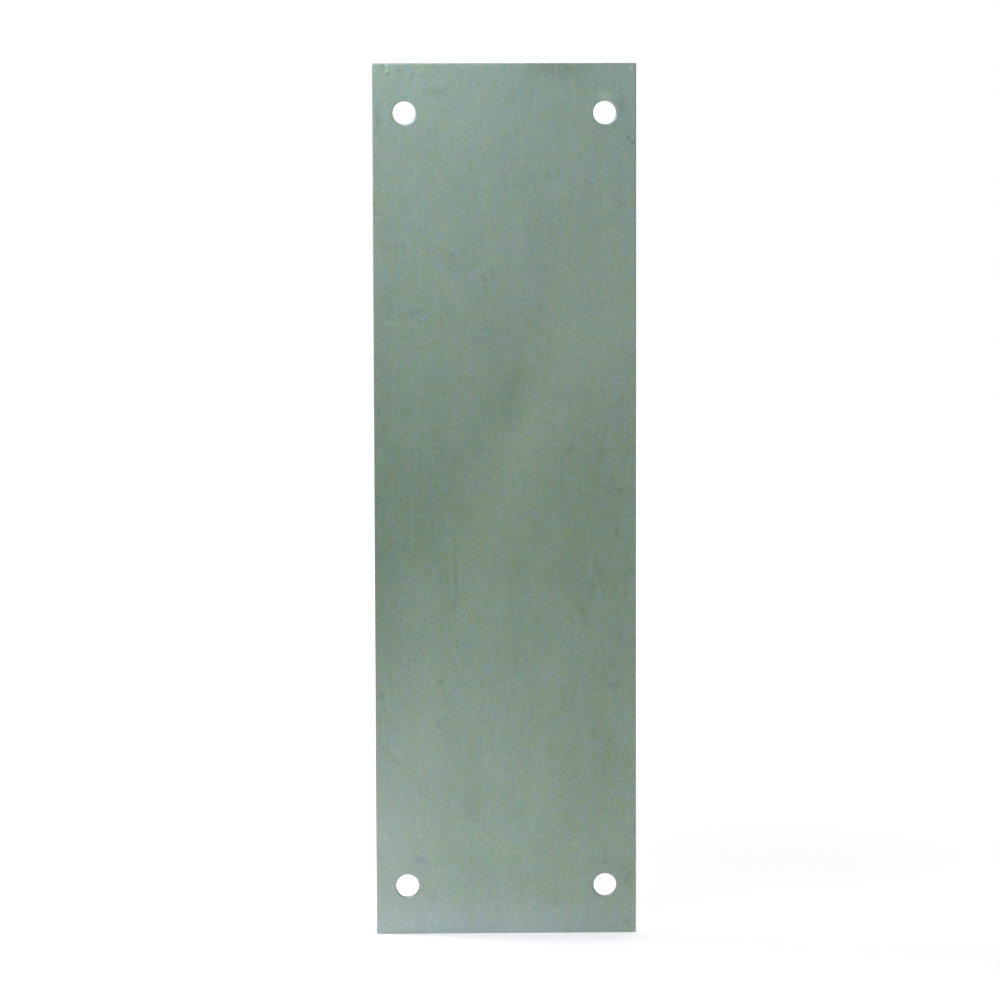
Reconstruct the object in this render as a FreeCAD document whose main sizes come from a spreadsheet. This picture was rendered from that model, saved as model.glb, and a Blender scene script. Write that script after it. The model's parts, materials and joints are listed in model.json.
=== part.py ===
# Door finger plate: a flat oblong of satin aluminium sheet with a plain screw hole near each corner.
# Millimetres. The origin is the centre of the back face, which lies on the door. +Z runs up the door
# along the plate's length, +X is to the right as seen from the front, and the front faces -Y.
import FreeCAD, Part
import os

import Sketcher

doc = FreeCAD.newDocument("door_finger_plate")

# Driving dimensions
sizes = doc.addObject("Spreadsheet::Sheet", "sizes")
driving_dimensions = [
    ("plate_length", "250", "height of the plate on the door"),
    ("plate_width", "75", "width of the plate"),
    ("sheet_thickness", "1.5", "thickness of the sheet"),
    ("edge_radius", "0.3", "easing of the corners and of the front edges"),
    ("hole_diameter", "6.6", "screw hole"),
    ("hole_side_inset", "9", "from a hole's centre to the side edge"),
    ("hole_end_inset", "14", "from a hole's centre to the top or bottom edge"),
    ("hole_rim_radius", "0.3", "rolled front rim that the punch leaves round a hole"),
]
for row, (alias, millimetres, meaning) in enumerate(driving_dimensions, start=1):
    sizes.set(f"A{row}", meaning)
    sizes.set(f"B{row}", millimetres)
    sizes.setAlias(f"B{row}", alias)
doc.recompute()

half_width = float(sizes.plate_width) / 2
half_length = float(sizes.plate_length) / 2
front = -float(sizes.sheet_thickness)
hole_radius = float(sizes.hole_diameter) / 2

# How a sketch numbers a line's or circle's points and its own origin
point = {"start": 1, "end": 2, "centre": 3}
sketch_origin = (-1, 1)

same_place = 1e-4

plate = doc.addObject("PartDesign::Body", "finger_plate")
plate.Label = "finger_plate"


def origin_feature(role):
    return next(feature for feature in plate.Origin.OriginFeatures if feature.Role == role)


def back_face_sketch(name):
    # On this plane the sketch's own axes are +X and +Z, and its normal is -Y, out of the door.
    sketch = plate.newObject("Sketcher::SketchObject", name)
    sketch.AttachmentSupport = [(origin_feature("XZ_Plane"), "")]
    sketch.MapMode = "FlatFace"
    return sketch


def constrain(sketch, expression, *constraint):
    # Adds a dimension to a sketch and binds it to the driving dimensions.
    index = sketch.addConstraint(Sketcher.Constraint(*constraint))
    sketch.setExpression(f"Constraints[{index}]", expression)


def edges_where(feature, wanted):
    # The names of those edges of a feature whose bounding box passes the test.
    edges = enumerate(feature.Shape.Edges, start=1)
    return [f"Edge{number}" for number, edge in edges if wanted(edge.BoundBox)]


def runs_front_to_back(box):
    return max(box.XLength, box.ZLength) < same_place


def lies_on_front(box):
    return max(abs(box.YMin - front), abs(box.YMax - front)) < same_place


def is_hole_rim(box):
    return lies_on_front(box) and abs(box.XLength - 2 * hole_radius) < same_place


# Blank: an oblong centred on the origin
outline = back_face_sketch("outline")
corners = [
    FreeCAD.Vector(-half_width, -half_length, 0),
    FreeCAD.Vector(half_width, -half_length, 0),
    FreeCAD.Vector(half_width, half_length, 0),
    FreeCAD.Vector(-half_width, half_length, 0),
]
sides = range(len(corners))
bottom, right, top, left = sides
next_side = [right, top, left, bottom]
for side in sides:
    outline.addGeometry(Part.LineSegment(corners[side], corners[next_side[side]]), False)
for side in sides:
    outline.addConstraint(
        Sketcher.Constraint("Coincident", side, point["end"], next_side[side], point["start"])
    )
for level in (bottom, top):
    outline.addConstraint(Sketcher.Constraint("Horizontal", level))
for upright in (right, left):
    outline.addConstraint(Sketcher.Constraint("Vertical", upright))
outline.addConstraint(
    Sketcher.Constraint("Symmetric", bottom, point["start"], top, point["start"], *sketch_origin)
)
constrain(
    outline, "sizes.plate_width",
    "DistanceX", bottom, point["start"], bottom, point["end"], 2 * half_width,
)
constrain(
    outline, "sizes.plate_length",
    "DistanceY", right, point["start"], right, point["end"], 2 * half_length,
)

blank = plate.newObject("PartDesign::Pad", "blank")
blank.Profile = outline
blank.setExpression("Length", "sizes.sheet_thickness")
doc.recompute()

# Eased edges: the four corners and the front outline, with the back left as it was cut
eased_edges = plate.newObject("PartDesign::Fillet", "eased_edges")
eased_edges.Base = (blank, edges_where(blank, runs_front_to_back) + edges_where(blank, lies_on_front))
eased_edges.setExpression("Radius", "sizes.edge_radius")
doc.recompute()

# Screw holes: one punched at the lower left, then repeated across and up the plate
hole_outline = back_face_sketch("hole_outline")
hole_place = FreeCAD.Vector(
    float(sizes.hole_side_inset) - half_width, float(sizes.hole_end_inset) - half_length, 0
)
circle = hole_outline.addGeometry(
    Part.Circle(hole_place, FreeCAD.Vector(0, 0, 1), hole_radius), False
)
constrain(
    hole_outline, "sizes.hole_side_inset - sizes.plate_width / 2",
    "DistanceX", *sketch_origin, circle, point["centre"], hole_place.x,
)
constrain(
    hole_outline, "sizes.hole_end_inset - sizes.plate_length / 2",
    "DistanceY", *sketch_origin, circle, point["centre"], hole_place.y,
)
constrain(hole_outline, "sizes.hole_diameter", "Diameter", circle, 2 * hole_radius)

screw_hole = plate.newObject("PartDesign::Pocket", "screw_hole")
screw_hole.Profile = hole_outline
screw_hole.Type = "ThroughAll"
screw_hole.Reversed = True
doc.recompute()

screw_holes = plate.newObject("PartDesign::LinearPattern", "screw_holes")
screw_holes.Originals = [screw_hole]
screw_holes.Direction = (origin_feature("X_Axis"), [""])
screw_holes.Occurrences = 2
screw_holes.setExpression("Length", "sizes.plate_width - 2 * sizes.hole_side_inset")
screw_holes.Direction2 = (origin_feature("Z_Axis"), [""])
screw_holes.Occurrences2 = 2
screw_holes.setExpression("Length2", "sizes.plate_length - 2 * sizes.hole_end_inset")
plate.Tip = screw_holes
doc.recompute()

# Rolled rims: the front edge of each hole, drawn in by the punch
hole_rims = plate.newObject("PartDesign::Fillet", "hole_rims")
rims = edges_where(screw_holes, is_hole_rim)
hole_rims.Base = (screw_holes, rims)
hole_rims.setExpression("Radius", "sizes.hole_rim_radius")
plate.Tip = hole_rims
doc.recompute()

# Checks before anything is written
failed = [item.Name for item in doc.Objects if {"Invalid", "Error"} & set(item.State)]
if failed:
    raise RuntimeError(f"these features failed: {failed}")
if plate.Shape.isNull() or not plate.Shape.isValid() or len(plate.Shape.Solids) != 1:
    raise RuntimeError("the plate is not one valid solid")
hole_count = screw_holes.Occurrences * screw_holes.Occurrences2
if len(rims) != hole_count:
    raise RuntimeError(f"{len(rims)} hole rims found, for {hole_count} holes")
slug_volume = Part.makeCylinder(hole_radius, -front).Volume
punched_out = eased_edges.Shape.Volume - screw_holes.Shape.Volume
if abs(punched_out - hole_count * slug_volume) > 1e-3 * slug_volume:
    raise RuntimeError("the screw holes do not go right through the sheet")

os.makedirs("parts", exist_ok=True)
plate.Shape.exportStep(f"parts/{plate.Label}.step")
extent = plate.Shape.BoundBox
print(f"{plate.Label}: {extent.XLength:.2f} x {extent.YLength:.2f} x {extent.ZLength:.2f} mm")
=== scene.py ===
import json
import math

import bmesh
import bpy
from mathutils import Matrix, Vector


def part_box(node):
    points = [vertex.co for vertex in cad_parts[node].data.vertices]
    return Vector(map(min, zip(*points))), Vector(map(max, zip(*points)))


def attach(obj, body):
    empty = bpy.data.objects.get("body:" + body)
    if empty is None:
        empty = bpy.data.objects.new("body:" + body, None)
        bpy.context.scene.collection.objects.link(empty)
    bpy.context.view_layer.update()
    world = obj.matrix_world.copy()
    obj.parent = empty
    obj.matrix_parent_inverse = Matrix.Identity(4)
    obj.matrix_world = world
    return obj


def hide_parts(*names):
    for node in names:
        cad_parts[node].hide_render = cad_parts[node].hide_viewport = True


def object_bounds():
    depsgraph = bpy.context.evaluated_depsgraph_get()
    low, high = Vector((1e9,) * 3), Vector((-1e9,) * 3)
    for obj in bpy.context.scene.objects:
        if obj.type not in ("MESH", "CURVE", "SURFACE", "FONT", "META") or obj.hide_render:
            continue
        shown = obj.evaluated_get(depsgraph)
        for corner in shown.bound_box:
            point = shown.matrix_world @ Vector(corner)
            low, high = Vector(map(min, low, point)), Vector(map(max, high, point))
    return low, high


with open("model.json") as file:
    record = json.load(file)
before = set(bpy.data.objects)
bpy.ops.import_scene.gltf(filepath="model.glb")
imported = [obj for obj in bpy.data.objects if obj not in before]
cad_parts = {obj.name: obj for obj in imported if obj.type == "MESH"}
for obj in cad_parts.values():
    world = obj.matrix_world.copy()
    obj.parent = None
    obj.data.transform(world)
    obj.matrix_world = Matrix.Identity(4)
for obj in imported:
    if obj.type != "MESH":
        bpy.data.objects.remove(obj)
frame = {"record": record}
cadLow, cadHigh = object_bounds()

mm = 0.001  # the frame is in metres, the dictionaries below in millimetres
scene = bpy.context.scene
mounts = {mount["name"]: mount for mount in frame["record"]["mounts"]}
noiseMean = 0.5  # where Blender's noise is centred


def hexColour(text):  # sRGB to linear, with an alpha of 1
    channels = [int(text[i:i + 2], 16) / 255 for i in (1, 3, 5)]
    return [c / 12.92 if c <= 0.04045 else ((c + 0.055) / 1.055) ** 2.4 for c in channels] + [1.0]


def add(tree, kind, inputs=None, **settings):
    node = tree.nodes.new("ShaderNode" + kind)
    for name, value in settings.items():
        setattr(node, name, value)
    for name, value in (inputs or {}).items():
        if isinstance(value, bpy.types.NodeSocket):
            tree.links.new(value, node.inputs[name])
        else:
            node.inputs[name].default_value = value
    return node


def emptyTree(owner):  # the node tree of a material or the world, with nothing in it yet
    owner.use_nodes = True
    owner.node_tree.nodes.clear()
    return owner.node_tree


def inMillimetres(tree):  # where a point lies on its piece
    place = add(tree, "TexCoord").outputs["Object"]
    return add(tree, "VectorMath", {0: place, "Scale": 1 / mm}, operation="SCALE").outputs[0]


def seenByEye(tree, path):  # 1 where the camera looks, also through a clear surface
    return add(
        tree, "Math", {0: path["Is Camera Ray"], 1: path["Is Transmission Ray"]}, operation="MAXIMUM"
    ).outputs[0]


# The plate: one flat sheet, cut as a grid of quads with rings of them round each hole

plate = {
    "node": "finger_plate",
    "edgeRadius": 0.3,  # eased corners and front edges, and the rolled rims of the holes
    "roundSteps": 4,  # faces across that rounding
    "roundProfile": 0.5,  # a true round
    "foldAngle": 60,  # degrees, above which an edge is the sheet's own and no facet of a hole's wall
    "cell": 5.0,  # the most a face measures on the open sheet
    "border": 4.0,  # strip of finer faces along the edges, for the knocks
    "fineCell": 0.4,  # a face there
    "holePatch": 7.0,  # half the square of radial faces round a hole
    "holeCell": 1.2,  # a face along that square's sides
    "holeRings": (0.4, 0.72, 0.9, 1.0),  # from the square to the hole's wall
    "sharpAngle": 40,  # degrees, above which an edge shades hard
    "cutFace": 0.4,  # a face whose normal points forward by less than this is part of the cut edge
    "dentEnd": 3.0,  # how many reaches away a knock has died out
}

knocks = [  # dents where the edge was hit, from one (x, z) on the front to another
    {"start": (-34.1, 124.7), "end": (-33.8, 123.0), "reach": 0.42, "depth": 0.10},
    {"start": (37.3, 102.4), "end": (35.7, 103.7), "reach": 0.38, "depth": 0.12},
    {"start": (-37.4, 82.3), "end": (-36.8, 81.9), "reach": 0.46, "depth": 0.10},
    {"start": (35.8, 123.9), "end": (36.1, 123.7), "reach": 0.38, "depth": 0.07},
]


def cutLines(edge, hole, axis):
    patch, border = plate["holePatch"], plate["border"]
    limits = sorted({edge, edge - border, hole + patch, hole - patch})
    stops = [-limit for limit in reversed(limits)] + limits
    lines = [stops[0]]
    for start, end in zip(stops, stops[1:]):
        middle = abs(start + end) / 2
        size = plate["cell"]
        if abs(middle - hole) < patch:
            size = plate["holeCell"]
        if middle > edge - border:
            size = plate["fineCell"]
        steps = math.ceil((end - start) / size)
        lines += [start + (end - start) * k / steps for k in range(1, steps + 1)]
    for knock in knocks:  # finer lines across each knock
        ends = sorted((knock["start"][axis], knock["end"][axis]))
        start, end = max(ends[0] - border / 2, -edge), min(ends[1] + border / 2, edge)
        steps = math.ceil((end - start) / plate["fineCell"])
        for k in range(steps + 1):
            line = start + (end - start) * k / steps
            if min(abs(line - other) for other in lines) > plate["fineCell"] / 2:
                lines.append(line)
    lines.sort()
    sides = (-hole - patch, -hole + patch, hole - patch, hole + patch)  # of the squares round the holes
    at = [min(range(len(lines)), key=lambda k: abs(lines[k] - side)) for side in sides]
    return [line * mm for line in lines], (at[:2], at[2:])


def cutFront(bm, high, front):
    pattern = mounts["screw_holes"]["dims"]
    xs, xBands = cutLines(high.x / mm, pattern["spacing_x_mm"] / 2, 0)
    zs, zBands = cutLines(high.z / mm, pattern["spacing_y_mm"] / 2, 1)
    spots = {}

    def at(i, j):
        if (i, j) not in spots:
            spots[i, j] = bm.verts.new((xs[i], front, zs[j]))
        return spots[i, j]

    squares = [(x, z) for x in xBands for z in zBands]
    for i in range(len(xs) - 1):
        for j in range(len(zs) - 1):
            if not any(x[0] <= i < x[1] and z[0] <= j < z[1] for x, z in squares):
                bm.faces.new((at(i, j), at(i + 1, j), at(i + 1, j + 1), at(i, j + 1)))
    for (left, right), (bottom, top) in squares:
        square = [at(i, bottom) for i in range(left, right)]
        square += [at(right, j) for j in range(bottom, top)]
        square += [at(i, top) for i in range(right, left, -1)]
        square += [at(left, j) for j in range(top, bottom, -1)]
        centre = Vector(((xs[left] + xs[right]) / 2, front, (zs[bottom] + zs[top]) / 2))
        wall = [centre + pattern["hole_r_mm"] * mm * (v.co - centre).normalized() for v in square]
        outer = square
        for share in plate["holeRings"]:
            inner = [bm.verts.new(v.co.lerp(w, share)) for v, w in zip(square, wall)]
            for k in range(len(square)):
                after = (k + 1) % len(square)
                bm.faces.new((outer[k], outer[after], inner[after], inner[k]))
            outer = inner


def pressKnocks(bm, front, back):
    for knock in knocks:
        start = Vector((knock["start"][0], 0, knock["start"][1])) * mm
        along = Vector((knock["end"][0], 0, knock["end"][1])) * mm - start
        for v in bm.verts:
            flat = Vector((v.co.x, 0, v.co.z)) - start
            share = min(max(flat.dot(along) / along.length_squared, 0), 1)
            far = (flat - along * share).length / (knock["reach"] * mm)
            if far < plate["dentEnd"]:
                dent = (1 - far ** 2) * math.exp(-far ** 2)  # a hollow with a low lip round it
                deep = (back - v.co.y) / (back - front)  # nothing moves at the back
                v.co.y += knock["depth"] * mm * dent * deep


def buildPlate():
    low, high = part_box(plate["node"])
    bm = bmesh.new()
    cutFront(bm, high, low.y)
    back = bmesh.ops.extrude_face_region(bm, geom=bm.faces[:], use_keep_orig=True)["geom"]
    moved = [v for v in back if isinstance(v, bmesh.types.BMVert)]
    bmesh.ops.translate(bm, verts=moved, vec=(0, high.y - low.y, 0))
    bmesh.ops.recalc_face_normals(bm, faces=bm.faces[:])
    onBack = set(v for v in bm.verts if v.co.y > (low.y + high.y) / 2)
    folds = [e for e in bm.edges if e.calc_face_angle(0) > math.radians(plate["foldAngle"])]
    eased = [e for e in folds if not all(v in onBack for v in e.verts)]  # the back stays as it was cut
    bmesh.ops.bevel(
        bm, geom=eased, offset=plate["edgeRadius"] * mm, offset_type="OFFSET",
        segments=plate["roundSteps"], profile=plate["roundProfile"], affect="EDGES",
    )
    pressKnocks(bm, low.y, high.y)
    bm.normal_update()
    for face in bm.faces:
        face.material_index = 1 if abs(face.normal.y) < plate["cutFace"] else 0  # sheared, or satin
    mesh = bpy.data.meshes.new("fingerPlate")
    bm.to_mesh(mesh)
    bm.free()
    mesh.shade_smooth()
    mesh.set_sharp_from_angle(angle=math.radians(plate["sharpAngle"]))
    piece = bpy.data.objects.new("fingerPlate", mesh)
    scene.collection.objects.link(piece)
    flat = piece.modifiers.new("flatFaces", "WEIGHTED_NORMAL")
    flat.keep_sharp = True
    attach(piece, "root")
    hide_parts(plate["node"])
    print("plate built:", len(mesh.polygons), "faces")
    return piece


platePiece = buildPlate()


# Satin anodised aluminium, etched and then anodised: a dull grey with a cast of green, a fine upright
# grain from the rolling, clouds and flecks in the film, a broad blurred sheen, and painted reflection and
# shade in broad patches

satin = {
    "film": "#87988B",
    "roughness": 0.44,
    "roughnessSwing": 0.05,
    "grain": {"size": (0.5, 0.5, 16.0), "detail": 3.0, "tone": 0.19},  # really near 0.05, drawn coarser
    "streak": {"size": (2.4, 2.4, 70.0), "detail": 2.0, "tone": 0.06},
    "pits": {"size": (0.65, 0.65, 0.65), "detail": 1.0, "tone": 0.33},  # really near 0.02, drawn coarser
    "cloud": {"size": (14.0, 14.0, 18.0), "detail": 4.0, "tone": 0.18},
    "fleck": {"size": (2.2, 2.2, 3.0), "detail": 2.0, "tone": (0.22, 0.08, 0.50)},
    "wobble": 1.0,  # how far the outlines of the marks stray
    "grainDepth": 0.011,
    "markDepth": 1.2,  # marks stay on the front
}

paintedLightPatches = [  # broad patches across the face, mostly painted reflection and shade: (x, z) of the middle, half sizes, lean to the right in degrees, change of tone
    {"at": (-11, -5), "size": (250, 93), "lean": 20, "tone": (-0.16, -0.13, -0.20)},  # painted shade, the darker middle
    {"at": (-55, -20), "size": (61, 94), "lean": 6, "tone": (-0.40, -0.33, -0.35)},
    {"at": (27, -79), "size": (36, 144), "lean": 0, "tone": (-0.14, -0.14, -0.17)},
    {"at": (2, 32), "size": (25, 58), "lean": 29, "tone": (-0.14, -0.12, -0.14)},
    {"at": (25, 4), "size": (23, 36), "lean": 13, "tone": (-0.12, -0.09, -0.12)},
    {"at": (11, 29), "size": (21, 128), "lean": 27, "tone": (0.12, 0.11, 0.09)},  # painted reflection, a paler slanting track
    {"at": (-10, 126), "size": (60, 106), "lean": -13, "tone": (0.05, 0.05, 0.08)},  # painted reflection, the paler top end
    # painted reflection, paler towards the bottom and the lower left
    {"at": (-35, -97), "size": (32, 115), "lean": 4, "tone": (0.19, 0.15, 0.21)},
    {"at": (-3, -128), "size": (85, 22), "lean": 0, "tone": (0.48, 0.36, 0.72)},
    {"at": (36, 118), "size": (17, 80), "lean": 0, "tone": (0.02, 0.05, 0.13)},  # bluer towards the top right
]

marks = [  # smudges, spots and scratches: lighter or darker than the film by the share in tone
    {"at": (11, 124.4), "size": (8, 6), "lean": 0, "tone": -0.16},  # along the top edge
    {"at": (18, 123.6), "size": (11, 7.5), "lean": 0, "tone": -0.16},
    {"at": (-33.2, 121.7), "size": (1.3, 1.1), "lean": 0, "tone": -0.22},
    {"at": (-30, 123.1), "size": (1.3, 1.3), "lean": 0, "tone": -0.34},
    {"at": (-26.1, 121.4), "size": (0.9, 4), "lean": 20, "tone": -0.14},
    {"at": (35.9, 123.6), "size": (1.3, 1.1), "lean": 0, "tone": 0.42},
    {"at": (-19.1, 116.7), "size": (5.2, 2.2), "lean": 0, "tone": -0.17},  # round the upper holes
    {"at": (-15.9, 118.2), "size": (3.4, 1.6), "lean": -20, "tone": -0.14},
    {"at": (-35.9, 109.4), "size": (1.4, 7), "lean": 0, "tone": -0.26},
    {"at": (28.4, 115.7), "size": (4.2, 2.6), "lean": 20, "tone": 0.34},
    {"at": (33.4, 112.7), "size": (3.4, 5.5), "lean": 0, "tone": -0.13},
    {"at": (31.1, 107.2), "size": (2.4, 2.2), "lean": 0, "tone": -0.14},
    {"at": (35.4, 103.7), "size": (0.6, 1.8), "lean": -50, "tone": -0.30},
    {"at": (36.5, 102.7), "size": (1.1, 1.0), "lean": 0, "tone": -0.34},
    {"at": (13.4, 93.1), "size": (5, 1.5), "lean": 0, "tone": -0.10},  # upper half
    {"at": (-36.6, 82.6), "size": (1.0, 1.6), "lean": -30, "tone": -0.26},
    {"at": (-27.7, 81.3), "size": (0.5, 5), "lean": 70, "tone": 0.12},
    {"at": (-31.7, 73.1), "size": (7, 2.5), "lean": 0, "tone": -0.12},
    {"at": (-14.9, 70.7), "size": (2, 1), "lean": 0, "tone": -0.18},
    {"at": (-5.9, 63.6), "size": (0.9, 2.8), "lean": -20, "tone": -0.25},  # a scribbled scratch
    {"at": (-3.9, 66), "size": (0.9, 2.0), "lean": -45, "tone": -0.21},
    {"at": (-3.4, 63.8), "size": (0.9, 2.2), "lean": 40, "tone": -0.21},
    {"at": (-5.3, 59.1), "size": (0.9, 4.5), "lean": -15, "tone": -0.12},
    {"at": (-25.6, 54.2), "size": (5.5, 1.9), "lean": -15, "tone": -0.18},
    {"at": (-24.1, 51.9), "size": (2, 1.2), "lean": 0, "tone": -0.14},
    {"at": (-32.1, 51.4), "size": (4, 1), "lean": 0, "tone": 0.22},
    {"at": (15.4, 49.8), "size": (1.2, 9), "lean": 8, "tone": 0.08},
    {"at": (2, 34.9), "size": (3, 7), "lean": 10, "tone": -0.08},
    {"at": (-36.2, 25.6), "size": (1.2, 2.5), "lean": 0, "tone": -0.20},  # middle
    {"at": (-36.1, 12.6), "size": (0.8, 4), "lean": 0, "tone": 0.14},
    {"at": (19, 15), "size": (1.5, 3), "lean": 15, "tone": -0.12},
    {"at": (27.1, 13.5), "size": (2.8, 4), "lean": 0, "tone": -0.12},
    {"at": (16.1, 5), "size": (0.8, 4), "lean": 0, "tone": -0.12},
    {"at": (-17.2, 2.8), "size": (1.2, 2.6), "lean": 45, "tone": -0.14},
    {"at": (32.6, 3.2), "size": (1.4, 4.8), "lean": -58, "tone": -0.13},
    {"at": (32, -8.6), "size": (1.2, 4.5), "lean": 0, "tone": -0.14},
    {"at": (-14.3, -19.6), "size": (1.1, 21), "lean": 0, "tone": -0.14},  # upright scratches
    {"at": (-15, -30.3), "size": (1.1, 2.4), "lean": 15, "tone": -0.14},
    {"at": (1.5, -27.1), "size": (1.0, 20), "lean": -5, "tone": -0.08},
    {"at": (2.7, -46.6), "size": (0.9, 7), "lean": 0, "tone": -0.13},
    {"at": (26.6, -19.6), "size": (2.4, 6), "lean": 0, "tone": -0.16},
    {"at": (24.7, -25.3), "size": (1.9, 6), "lean": 0, "tone": -0.15},
    {"at": (22.4, -32.1), "size": (2.1, 8), "lean": -25, "tone": -0.14},
    {"at": (36.2, -19.6), "size": (1.2, 3), "lean": 0, "tone": -0.18},
    {"at": (-30.4, -46), "size": (1.5, 3.8), "lean": -55, "tone": -0.16},  # lower half
    {"at": (-18.9, -51.9), "size": (1.4, 1.9), "lean": 20, "tone": -0.15},
    {"at": (31.3, -52.6), "size": (4.6, 1.6), "lean": 0, "tone": -0.16},
    {"at": (-35.7, -55.7), "size": (1.4, 2.8), "lean": 0, "tone": -0.27},
    {"at": (-35.2, -59.8), "size": (1.8, 0.9), "lean": 0, "tone": -0.20},
    {"at": (-19.4, -64), "size": (1.4, 2.8), "lean": 0, "tone": -0.20},
    {"at": (25.9, -66.2), "size": (1.9, 1.7), "lean": 0, "tone": -0.19},
    {"at": (30.1, -68.3), "size": (1.6, 2), "lean": 0, "tone": -0.10},
    {"at": (6, -77.8), "size": (2.4, 1.0), "lean": 0, "tone": -0.14},
    {"at": (-10, -88), "size": (6, 7), "lean": 0, "tone": -0.12},
    {"at": (-32.5, -73.5), "size": (0.9, 9.5), "lean": -41, "tone": -0.13},  # slanting scratches
    {"at": (-24.3, -83.6), "size": (0.9, 9), "lean": -39, "tone": -0.07},
    {"at": (-33.3, -96.4), "size": (1.0, 10), "lean": -37, "tone": -0.12},
    {"at": (-24.9, -103.1), "size": (3.4, 2), "lean": 30, "tone": -0.15},  # round the lower holes
    {"at": (-35.9, -102.8), "size": (1.4, 1.4), "lean": 0, "tone": -0.22},
    {"at": (-20.9, -113.9), "size": (2.3, 5), "lean": 0, "tone": -0.17},
    {"at": (-2.8, -117.7), "size": (1.3, 1.5), "lean": 0, "tone": -0.14},
    {"at": (14, -115.4), "size": (6, 3.5), "lean": 0, "tone": -0.13},
    {"at": (28.5, -104.6), "size": (5, 2.4), "lean": 0, "tone": -0.13},
    {"at": (25.3, -112.1), "size": (2.6, 4.5), "lean": 0, "tone": -0.14},
    {"at": (35.1, -109), "size": (2.8, 4.5), "lean": 0, "tone": -0.14},
    {"at": (34.8, -121.6), "size": (2, 2), "lean": 0, "tone": -0.18},
]


def satinAluminium():
    material = bpy.data.materials.new("satinAnodisedAluminium")
    tree = emptyTree(material)
    inMm = inMillimetres(tree)

    noise = {}
    for name in ("grain", "streak", "pits", "cloud", "fleck"):
        spec = satin[name]
        space = add(tree, "VectorMath", {0: inMm, 1: spec["size"]}, operation="DIVIDE").outputs[0]
        noise[name] = add(
            tree, "TexNoise", {"Vector": space, "Scale": 1.0, "Detail": spec["detail"]}
        ).outputs

    stray = add(
        tree, "VectorMath", {0: noise["fleck"]["Color"], 1: [noiseMean] * 3}, operation="SUBTRACT"
    ).outputs[0]
    wobble = (satin["wobble"], 0, satin["wobble"])
    onFace = add(tree, "VectorMath", {0: stray, 1: wobble, 2: inMm}, operation="MULTIPLY_ADD").outputs[0]

    def spread(spot):  # 1 in the middle of a mark, falling softly to 0 at its rim
        where = add(tree, "Mapping", {
            "Vector": onFace, "Location": (spot["at"][0], cadLow.y / mm, spot["at"][1]),
            "Rotation": (0, math.radians(spot["lean"]), 0),
            "Scale": (spot["size"][0], satin["markDepth"], spot["size"][1]),
        }, vector_type="TEXTURE").outputs[0]
        return add(tree, "TexGradient", {0: where}, gradient_type="QUADRATIC_SPHERE").outputs["Fac"]

    marked = 0.0  # the marks change all three channels alike, so they are summed as one number
    for spot in marks:
        marked = add(
            tree, "Math", {0: spread(spot), 1: spot["tone"], 2: marked}, operation="MULTIPLY_ADD"
        ).outputs[0]
    # the broad patches paint reflection and shade into the film's colour
    layers = [(spread(spot), spot["tone"]) for spot in paintedLightPatches]
    layers += [(marked, (1, 1, 1)), (stray, satin["fleck"]["tone"])]
    for name in ("grain", "streak", "pits", "cloud"):
        centred = add(
            tree, "Math", {0: noise[name]["Fac"], 1: noiseMean}, operation="SUBTRACT"
        ).outputs[0]
        layers.append((centred, [satin[name]["tone"]] * 3))
    tone = (1, 1, 1)  # red, green and blue are shaded apart
    for pattern, change in layers:
        tone = add(
            tree, "VectorMath", {0: pattern, 1: change, 2: tone}, operation="MULTIPLY_ADD"
        ).outputs[0]
    colour = add(
        tree, "VectorMath", {0: hexColour(satin["film"])[:3], 1: tone}, operation="MULTIPLY"
    ).outputs[0]

    rough = add(tree, "MapRange", {
        "Value": noise["grain"]["Fac"],
        "To Min": satin["roughness"] - satin["roughnessSwing"],
        "To Max": satin["roughness"] + satin["roughnessSwing"],
    }).outputs[0]
    height = add(tree, "Math", {0: noise["pits"]["Fac"], 1: noise["grain"]["Fac"]}).outputs[0]
    bump = add(tree, "Bump", {"Height": height, "Distance": satin["grainDepth"] * mm}).outputs[0]
    shader = add(tree, "BsdfPrincipled", {
        "Base Color": colour, "Metallic": 1.0, "Roughness": rough, "Normal": bump,
    }).outputs[0]
    add(tree, "OutputMaterial", {"Surface": shader})
    return material


# Sheared aluminium, as the guillotine and the punch leave it: bare bright metal with lines drawn through
# the thickness, burnished where the blade went in and torn and duller behind

sheared = {
    "metal": "#9AA29D",
    "burnished": 0.50,
    "torn": 0.62,
    "tornTone": 0.78,
    "tornFrom": (-1.0, -0.7),  # y where the burnished band gives way
    "line": {"size": (0.35, 8.0, 0.35), "detail": 2.0, "tone": 0.5},  # really near 0.03, drawn coarser
    "tear": 0.5,  # how ragged the boundary is
    "lineDepth": 0.008,
}


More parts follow.
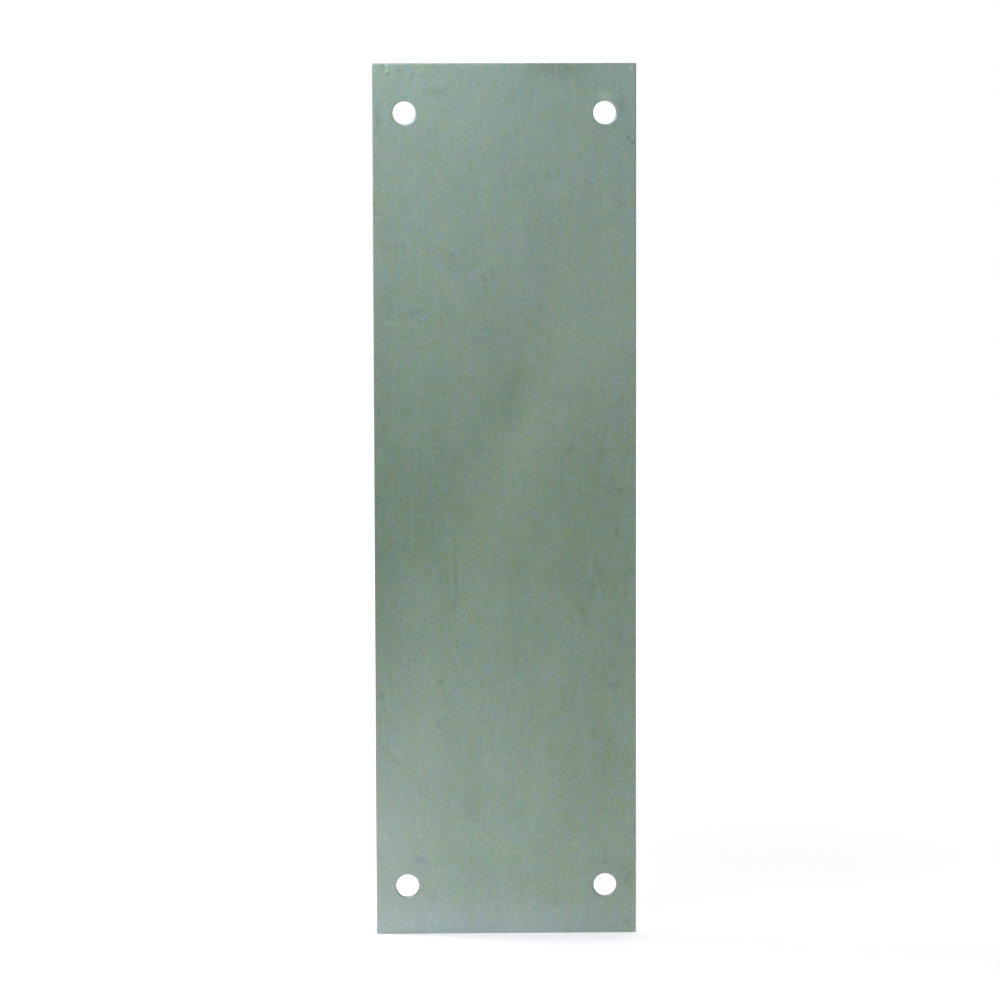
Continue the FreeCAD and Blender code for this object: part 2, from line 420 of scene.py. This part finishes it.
def shearedAluminium():
    material = bpy.data.materials.new("shearedAluminium")
    tree = emptyTree(material)
    inMm = inMillimetres(tree)
    space = add(tree, "VectorMath", {0: inMm, 1: sheared["line"]["size"]}, operation="DIVIDE").outputs[0]
    line = add(
        tree, "TexNoise", {"Vector": space, "Scale": 1.0, "Detail": sheared["line"]["detail"]}
    ).outputs["Fac"]
    depth = add(tree, "SeparateXYZ", {0: inMm}).outputs["Y"]
    ragged = add(
        tree, "Math", {0: line, 1: sheared["tear"], 2: depth}, operation="MULTIPLY_ADD"
    ).outputs[0]
    start, end = [y + sheared["tear"] / 2 for y in sheared["tornFrom"]]
    torn = add(tree, "MapRange", {"Value": ragged, "From Min": start, "From Max": end}).outputs[0]
    rough = add(tree, "Mix", {0: torn, 2: sheared["burnished"], 3: sheared["torn"]}).outputs[0]
    band = add(tree, "Mix", {0: torn, 2: 1.0, 3: sheared["tornTone"]}).outputs[0]
    centred = add(tree, "Math", {0: line, 1: noiseMean}, operation="SUBTRACT").outputs[0]
    tone = add(
        tree, "Math", {0: centred, 1: sheared["line"]["tone"], 2: band}, operation="MULTIPLY_ADD"
    ).outputs[0]
    colour = add(
        tree, "VectorMath", {0: hexColour(sheared["metal"])[:3], "Scale": tone}, operation="SCALE"
    ).outputs[0]
    bump = add(tree, "Bump", {"Height": line, "Distance": sheared["lineDepth"] * mm}).outputs[0]
    shader = add(tree, "BsdfPrincipled", {
        "Base Color": colour, "Metallic": 1.0, "Roughness": rough, "Normal": bump,
    }).outputs[0]
    add(tree, "OutputMaterial", {"Surface": shader})
    return material


platePiece.data.materials.append(satinAluminium())
platePiece.data.materials.append(shearedAluminium())
print("plate finished in satin anodised aluminium with sheared edges")


# Stage: a pale floor under the plate, a white studio round it, and soft lamps

stage = {
    "floorSize": 6000.0,
    "backdrop": "#FFFFFF",
    "floorPaint": "#B4B4B4",  # what the lamps light
    "floorGlow": (0.46, 0.80),  # backdrop that the eye sees over the paint, close by and far off
    "glowReach": (190.0, 520.0),  # how far from the plate those two hold
    "metalGlow": 0.76,  # backdrop that the metal mirrors there
    "studioFront": 0.38,  # how bright the room is in front of the plate, where the backdrop is 1
    "studioTurn": (-0.2, 0.4),  # y of the direction where that front gives way to the backdrop
    "lamps": [
        {"name": "kickLamp", "at": (-150, 40, 60), "aim": (-80, -60, -125), "size": 80,
         "watts": 0.62, "tint": "#FFF0FF", "onMetal": False},  # lights the floor alone
        {"name": "overLamp", "at": (-100, -110, 260), "aim": (-30, 0, 110), "size": 160,
         "watts": 0.20, "tint": "#EEF6FF", "onMetal": True},
        {"name": "windowLamp", "at": (-200, -300, 330), "aim": (-20, 0, 100), "size": 400,
         "watts": 2.0, "tint": "#EEF6FF", "onMetal": True},
        {"name": "backLamp", "at": (420, 620, 420), "aim": (0, 0, 0), "size": 500,
         "watts": 1.5, "tint": "#FFFFFF", "onMetal": True},
    ],
}


def buildFloor():
    half = stage["floorSize"] / 2 * mm
    level = cadLow.z
    mesh = bpy.data.meshes.new("floor")
    corners = [(-half, -half, level), (half, -half, level), (half, half, level), (-half, half, level)]
    mesh.from_pydata(corners, [], [(0, 1, 2, 3)])
    floor = bpy.data.objects.new("floor", mesh)
    scene.collection.objects.link(floor)

    material = bpy.data.materials.new("paintedBoard")  # matt white, lit from itself where the eye looks
    tree = emptyTree(material)
    path = add(tree, "LightPath").outputs
    seen = seenByEye(tree, path)
    place = add(tree, "TexCoord").outputs["Object"]
    far = add(tree, "VectorMath", {0: place}, operation="LENGTH").outputs["Value"]
    share = add(tree, "MapRange", {
        "Value": far,
        "From Min": stage["glowReach"][0] * mm, "From Max": stage["glowReach"][1] * mm,
        "To Min": stage["floorGlow"][0], "To Max": stage["floorGlow"][1],
    }).outputs[0]
    shown = add(tree, "Math", {0: seen, 1: share}, operation="MULTIPLY").outputs[0]
    glow = add(tree, "Mix", {0: path["Is Glossy Ray"], 2: shown, 3: stage["metalGlow"]}).outputs[0]
    lit = add(tree, "BsdfDiffuse", {"Color": hexColour(stage["floorPaint"])}).outputs[0]
    white = add(tree, "Emission", {"Color": hexColour(stage["backdrop"]), "Strength": glow}).outputs[0]
    both = add(tree, "AddShader", {0: lit, 1: white}).outputs[0]
    add(tree, "OutputMaterial", {"Surface": both})
    mesh.materials.append(material)


def buildStudio():
    world = bpy.data.worlds.new("whiteStudio")
    scene.world = world
    tree = emptyTree(world)
    path = add(tree, "LightPath").outputs
    way = add(tree, "SeparateXYZ", {0: add(tree, "TexCoord").outputs["Generated"]}).outputs["Y"]
    side = add(tree, "MapRange", {
        "Value": way, "From Min": stage["studioTurn"][0], "From Max": stage["studioTurn"][1],
        "To Min": stage["studioFront"], "To Max": 1.0,
    }, interpolation_type="SMOOTHSTEP").outputs[0]
    tone = add(tree, "Mix", {0: seenByEye(tree, path), 2: side, 3: 1.0}).outputs[0]
    sky = add(tree, "Background", {"Color": hexColour(stage["backdrop"]), "Strength": tone}).outputs[0]
    add(tree, "OutputWorld", {"Surface": sky})


def hangLamps():
    for spec in stage["lamps"]:
        light = bpy.data.lights.new(spec["name"], "AREA")
        light.shape = "DISK"
        light.size = spec["size"] * mm
        light.energy = spec["watts"]
        light.color = hexColour(spec["tint"])[:3]
        lamp = bpy.data.objects.new(spec["name"], light)
        lamp.location = Vector(spec["at"]) * mm
        way = Vector(spec["aim"]) * mm - lamp.location
        lamp.rotation_euler = way.to_track_quat("-Z", "Y").to_euler()
        lamp.visible_camera = False
        lamp.visible_glossy = spec["onMetal"]
        scene.collection.objects.link(lamp)


buildFloor()
buildStudio()
hangLamps()
print("stage and lamps set")


# Camera: nearly square on, a little high and a little to the left, as the photograph was taken

camera = {
    "azimuth": -1.25,  # degrees
    "elevation": 4.43,
    "roll": -0.15,
    "distance": 1004.2,
    "lens": 126.0,
    "sensor": 36.0,
    "nearest": 10.0,  # nothing closer is drawn
    "photoSide": 1000,  # pixels
    "plateAt": (505.3, 501.9),  # pixel where the plate's centre shows
}


def setCamera():
    data = bpy.data.cameras.new("camera")
    data.sensor_width = camera["sensor"]
    data.lens = camera["lens"]
    data.clip_start = camera["nearest"] * mm
    middle = camera["photoSide"] / 2
    data.shift_x = (middle - camera["plateAt"][0]) / camera["photoSide"]
    data.shift_y = (camera["plateAt"][1] - middle) / camera["photoSide"]
    eye = bpy.data.objects.new("camera", data)
    scene.collection.objects.link(eye)
    turn, lift = math.radians(camera["azimuth"]), math.radians(camera["elevation"])
    back = Vector((math.sin(turn) * math.cos(lift), -math.cos(turn) * math.cos(lift), math.sin(lift)))
    aim = (-back).to_track_quat("-Z", "Y").to_matrix()
    eye.location = back * camera["distance"] * mm
    eye.rotation_euler = (aim @ Matrix.Rotation(math.radians(camera["roll"]), 3, "Z")).to_euler()
    scene.camera = eye


setCamera()
scene.view_settings.view_transform = "Standard"
print("camera set")
